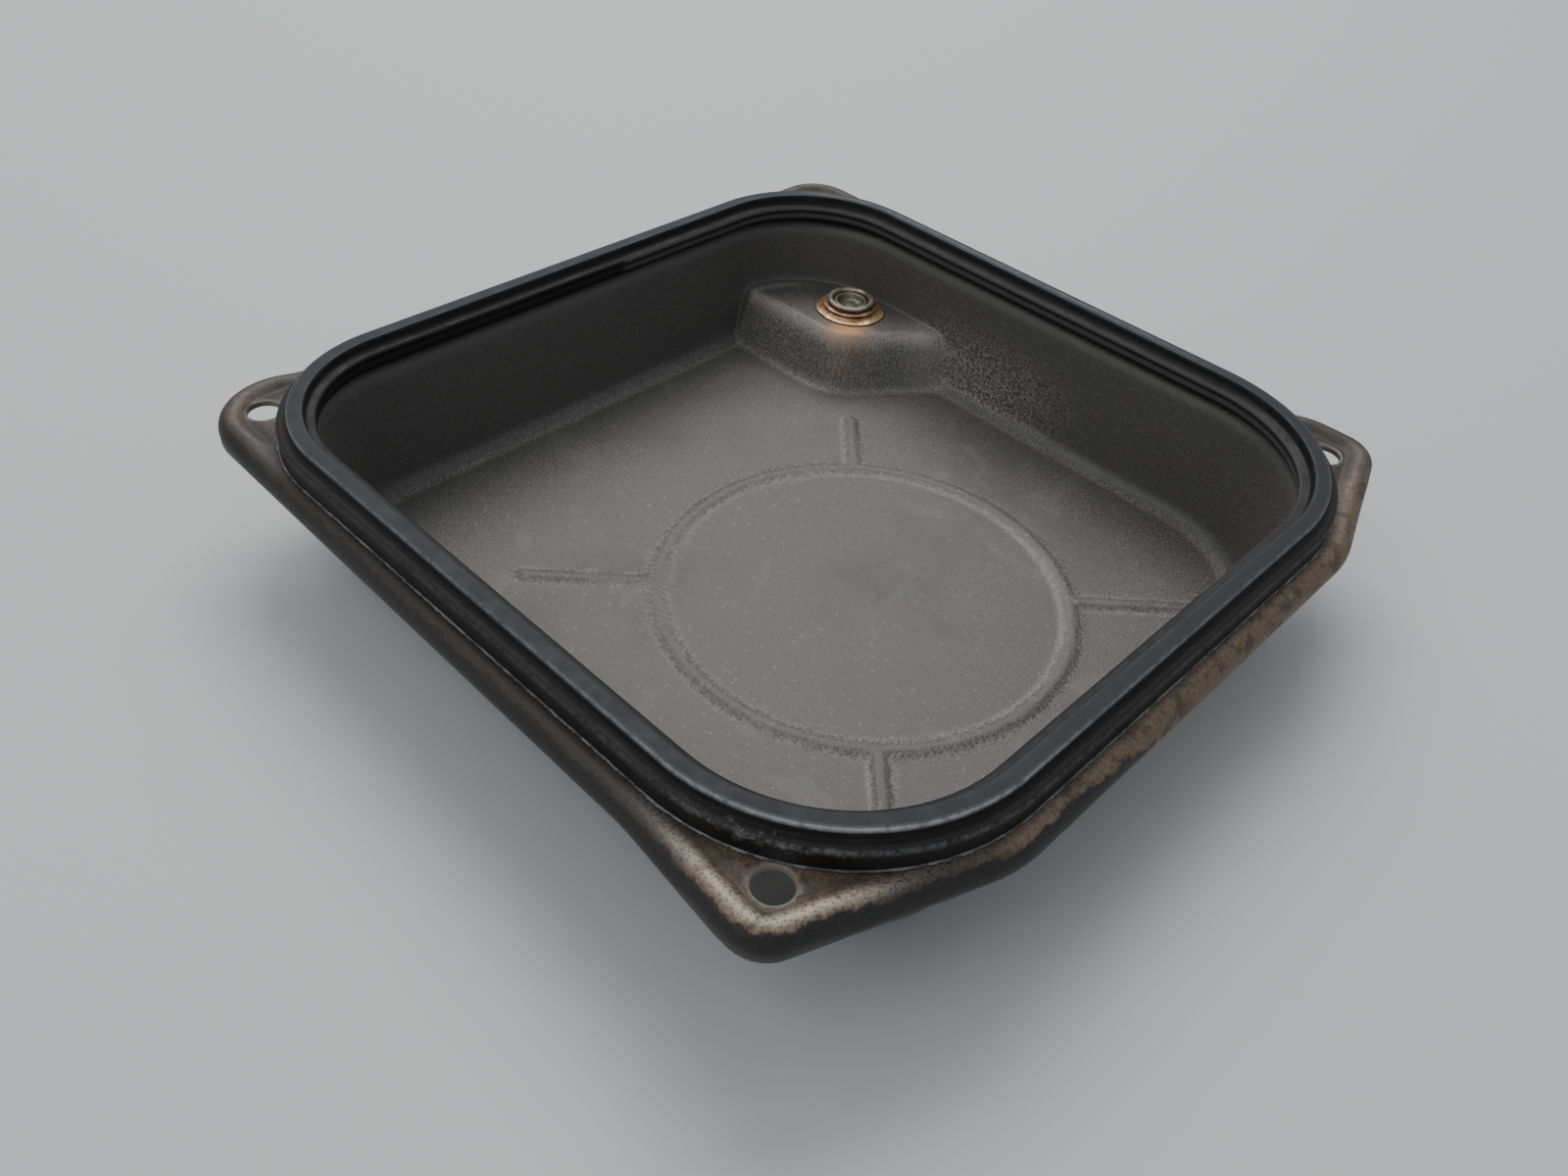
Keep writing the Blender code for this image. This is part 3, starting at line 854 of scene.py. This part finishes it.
def flange_colour(look, fine, mottle):
    """The flange's seat, bare or tan, with a painted highlight on its crest, painted shade in its hollows,
    rust along its edge and the skirt below, painted darker as shade, with painted highlights along the
    skirt's foot and round the bolt holes.
    """
    at = look.attribute
    grain = look.noise(3000, 2, 0.6)
    tan = look.mix((0.128, 0.086, 0.052), (0.200, 0.146, 0.094), look.fade(fine, 0.36, 0.64))
    brown = look.mix((0.060, 0.044, 0.032), (0.095, 0.072, 0.052), look.fade(grain, 0.35, 0.65))
    bare = look.mix((0.030, 0.028, 0.026), (0.050, 0.046, 0.041), look.fade(fine, 0.35, 0.65))
    seat_mix = look.mix(tan, brown, look.fade(mottle, 0.47, 0.58, 0.0, 0.85))
    patchy = look.sum("ADD", at("tan"), look.fade(mottle, 0.3, 0.7, -0.22, 0.22), clamp=True)
    flange = look.mix(bare, seat_mix, look.fade(patchy, 0.25, 0.75))
    # Painted shade in the hollow inside the crest.
    flange = look.tint(flange, (0.045, 0.036, 0.029), "gully_shade", 0.75)
    # A painted highlight along the flange's rolled crest, broken up by fine noise.
    crest_highlight = look.sum("MULTIPLY", at("crest"), look.fade(fine, 0.30, 0.56))
    flange = look.mix(flange, (0.56, 0.50, 0.41), look.sum("MULTIPLY", crest_highlight, 0.85))
    # side: the skirt's bare coating, painted darker than the bare seat as painted shade on the skirt's outer
    # face.
    side = look.mix((0.016, 0.0155, 0.015), (0.034, 0.033, 0.031), look.fade(fine, 0.35, 0.65))
    ragged = look.sum("ADD", at("skirt"), look.fade(mottle, 0.35, 0.65, -0.3, 0.3), clamp=True)
    rust = look.mix(flange, (0.070, 0.040, 0.024), look.fade(ragged, 0.18, 0.40, 0.0, 0.8))
    flange = look.mix(rust, side, look.fade(ragged, 0.34, 0.52))
    # A painted highlight along the skirt's bottom edge.
    flange = look.tint(flange, (0.17, 0.165, 0.15), "lip", 0.7)
    # A painted highlight round the bolt holes' rims.
    return look.tint(flange, (0.30, 0.28, 0.24), "hole", 0.55)


def steel_look():
    look = Look("pressed_steel_look")
    fine = look.noise(1300, 3, 0.65)
    mottle = look.noise(190, 4, 0.65)
    bowl = bowl_colour(look, fine, mottle)
    flange = flange_colour(look, fine, mottle)
    colour = look.mix(bowl, flange, look.attribute("upper_or_skirt"))
    rough = look.fade(fine, 0.3, 0.7, 0.45, 0.68)
    height = look.sum("ADD", look.sum("MULTIPLY", fine, 0.7), look.sum("MULTIPLY", mottle, 0.5))
    return look.finish(colour, 0.3, rough, look.bump(height, 0.5, 0.00025))


def seal_masks(obj):
    points = points_of(obj)
    xy, z = points[:, :2], points[:, 2]
    mouth = mouth_distance(xy)
    corner = bell(distance(xy, (-98.0, -98.0)), 45.0)
    ear = bell(distance(xy, (-104.0, -84.0)), 13.0)
    # plateau: where the rubber's top is painted lighter than its sides, as painted light on the top and
    # painted shade on the sides.
    write_mask(obj, "plateau", smooth((z - HEIGHT + 0.9) / 0.7))
    # rim: a painted highlight along the plateau's outer edge, strongest at the front corner.
    write_mask(obj, "rim", bell(mouth - 4.3, 0.28) * (z > HEIGHT - 0.8) * (0.35 + 0.65 * corner))
    far_right = smooth((xy[:, 0] - 90.0) / 15.0) * smooth((xy[:, 1] + 75.0) / 60.0)
    write_mask(obj, "sheen", bell(mouth - 2.2, 0.7) * (z > HEIGHT - 0.3) * far_right)
    # mid: a painted highlight along the edge of the seal's outer shoulder.
    write_mask(obj, "mid", bell(z - HEIGHT + 3.7, 0.4) * (mouth > 6.9) * (0.3 + 0.7 * corner))
    write_mask(obj, "dust", ear * (mouth > 5.0) * bell(z - 46.6, 1.2))
    # A painted highlight on the inner lip, on the right-hand sides.
    write_mask(obj, "inner_lip_highlight", bell(mouth + 2.8, 0.3) * (z < HEIGHT - 3) * (xy[:, 0] > 20))


def rubber_look():
    look = Look("seal_rubber_look")
    mottle = look.noise(160, 4, 0.6)
    dust = look.noise(1500, 2, 0.7)
    wisps = look.noise(420, 4, 0.7)
    # One rubber in two colours: the top painted lighter as painted light and the sides painted darker as
    # painted shade.
    top = look.mix((0.013, 0.0138, 0.0148), (0.025, 0.0262, 0.0275), look.fade(mottle, 0.3, 0.7))
    side = look.mix((0.0075, 0.007, 0.0065), (0.014, 0.0125, 0.011), look.fade(mottle, 0.3, 0.7))
    colour = look.mix(side, top, look.attribute("plateau"))
    colour = look.mix(colour, (0.21, 0.20, 0.19), look.sum("MULTIPLY", look.fade(dust, 0.68, 0.75), 0.4))
    # A painted highlight along the plateau's outer edge.
    colour = look.tint(colour, (0.42, 0.43, 0.44), "rim", look.fade(wisps, 0.3, 0.6, 0.4, 1.0))
    # A faint painted highlight along the outer shoulder's edge, broken up by noise.
    colour = look.tint(colour, (0.13, 0.13, 0.13), "mid", look.fade(wisps, 0.35, 0.6))
    colour = look.tint(colour, (0.40, 0.40, 0.38), "dust", look.fade(wisps, 0.54, 0.64, 0.0, 0.7))
    # A painted highlight on the seal's inner lip.
    colour = look.tint(colour, (0.20, 0.19, 0.19), "inner_lip_highlight", 0.5)
    colour = look.tint(colour, (0.15, 0.145, 0.14), "sheen", look.fade(wisps, 0.3, 0.6, 0.3, 0.8))
    rough = look.fade(mottle, 0.3, 0.7, 0.50, 0.66)
    return look.finish(colour, 0.0, rough, look.bump(mottle, 0.15, 0.0003), Specular_IOR_Level=0.3)


def metal_look(name, dark, light, metallic, rough_low, rough_high, scale=260):
    look = Look(name)
    mottle = look.noise(scale, 4, 0.6)
    fine = look.noise(scale * 5, 2, 0.6)
    colour = look.mix(dark, light, look.fade(mottle, 0.35, 0.65))
    rough = look.fade(fine, 0.3, 0.7, rough_low, rough_high)
    return look.finish(colour, metallic, rough, look.bump(fine, 0.2, 0.0001))


def bush_masks(obj):
    z = points_of(obj)[:, 2]
    write_mask(obj, "rim", smooth((z - DRAIN_TOP - 4.1) / 0.4))
    # groove: painted shade in the groove under the bush's top ring.
    write_mask(obj, "groove", bell(z - DRAIN_TOP - 3.4, 0.35))


def bush_look():
    look = Look("bush_look")
    mottle = look.noise(260, 4, 0.6)
    fine = look.noise(1300, 2, 0.6)
    colour = look.mix((0.22, 0.12, 0.065), (0.58, 0.38, 0.24), look.fade(mottle, 0.35, 0.65))
    # Painted shade in the groove under the top ring.
    colour = look.tint(colour, (0.10, 0.035, 0.012), "groove", 0.9)
    grey = look.mix((0.22, 0.20, 0.155), (0.46, 0.43, 0.36), look.fade(mottle, 0.35, 0.65))
    colour = look.mix(colour, grey, look.sum("MULTIPLY", look.attribute("rim"), 0.85))
    return look.finish(colour, 0.7, look.fade(fine, 0.3, 0.7, 0.28, 0.5), look.bump(fine, 0.2, 0.0001))


def dress(obj, look):
    obj.data.materials.clear()
    obj.data.materials.append(look)


flange_masks(shell)
bowl_masks(shell)
dress(shell, steel_look())
seal_masks(seal)
dress(seal, rubber_look())
# The flash is the seal's dark rubber, painted light grey as a painted highlight along the crinkled lip.
dress(flash, metal_look("flash_highlight_look", (0.05, 0.05, 0.052), (0.20, 0.20, 0.205), 0.2, 0.35, 0.6))
bush_masks(bush)
dress(bush, bush_look())
dress(braze, metal_look("braze_look", (0.50, 0.25, 0.11), (0.86, 0.60, 0.34), 0.6, 0.25, 0.45))
plug_look = metal_look("plug_look", (0.15, 0.145, 0.105), (0.30, 0.29, 0.215), 0.6, 0.3, 0.5)
dress(plug, plug_look)
dress(head, plug_look)
dress(washer, metal_look("washer_look", (0.45, 0.20, 0.11), (0.68, 0.36, 0.22), 0.9, 0.3, 0.5))


# ---------------------------------------------------------------- floor, light and camera


def make_floor():
    half = 6.0
    mesh = bpy.data.meshes.new("floor")
    corners = [(-half, -half, 0), (half, -half, 0), (half, half, 0), (-half, half, 0)]
    mesh.from_pydata(corners, [], [(0, 1, 2, 3)])
    made = placed("floor", mesh)
    look = Look("floor_look")
    dress(made, look.finish((0.62, 0.62, 0.615), 0.0, 0.55))


def area_light(name, spot, size, power):
    """A rectangular light in metres and watts, aimed at the origin."""
    data = bpy.data.lights.new(name, "AREA")
    data.shape = "RECTANGLE"
    data.size, data.size_y = size
    data.energy = power
    made = placed(name, data)
    made.location = spot
    made.rotation_euler = (-Vector(spot)).to_track_quat("-Z", "Y").to_euler()


def make_world():
    world = bpy.data.worlds.new("studio")
    world.use_nodes = True
    background = world.node_tree.nodes["Background"]
    background.inputs["Color"].default_value = (0.9, 0.93, 1.0, 1.0)
    background.inputs["Strength"].default_value = 0.46
    bpy.context.scene.world = world


def make_camera():
    """A wide lens close to the pan's front corner, looking down into the bowl."""
    lens = bpy.data.cameras.new("camera")
    lens.sensor_width = 36.0
    lens.lens = 29.13
    camera = placed("camera", lens)
    right = Vector((0.699, -0.711, 0.075))
    up = Vector((0.4355, 0.5066, 0.7442))
    back = right.cross(up).normalized()
    up = back.cross(right).normalized()
    turn = Matrix((right.normalized(), up, back)).transposed()
    camera.matrix_world = Matrix.Translation((-0.2259, -0.1851, 0.2466)) @ turn.to_4x4()
    bpy.context.scene.camera = camera


make_floor()
area_light("key", (0.9, 1.0, 1.7), (1.6, 1.2), 31)
area_light("fill", (-1.2, 0.4, 1.5), (1.2, 1.2), 7)
make_world()
make_camera()
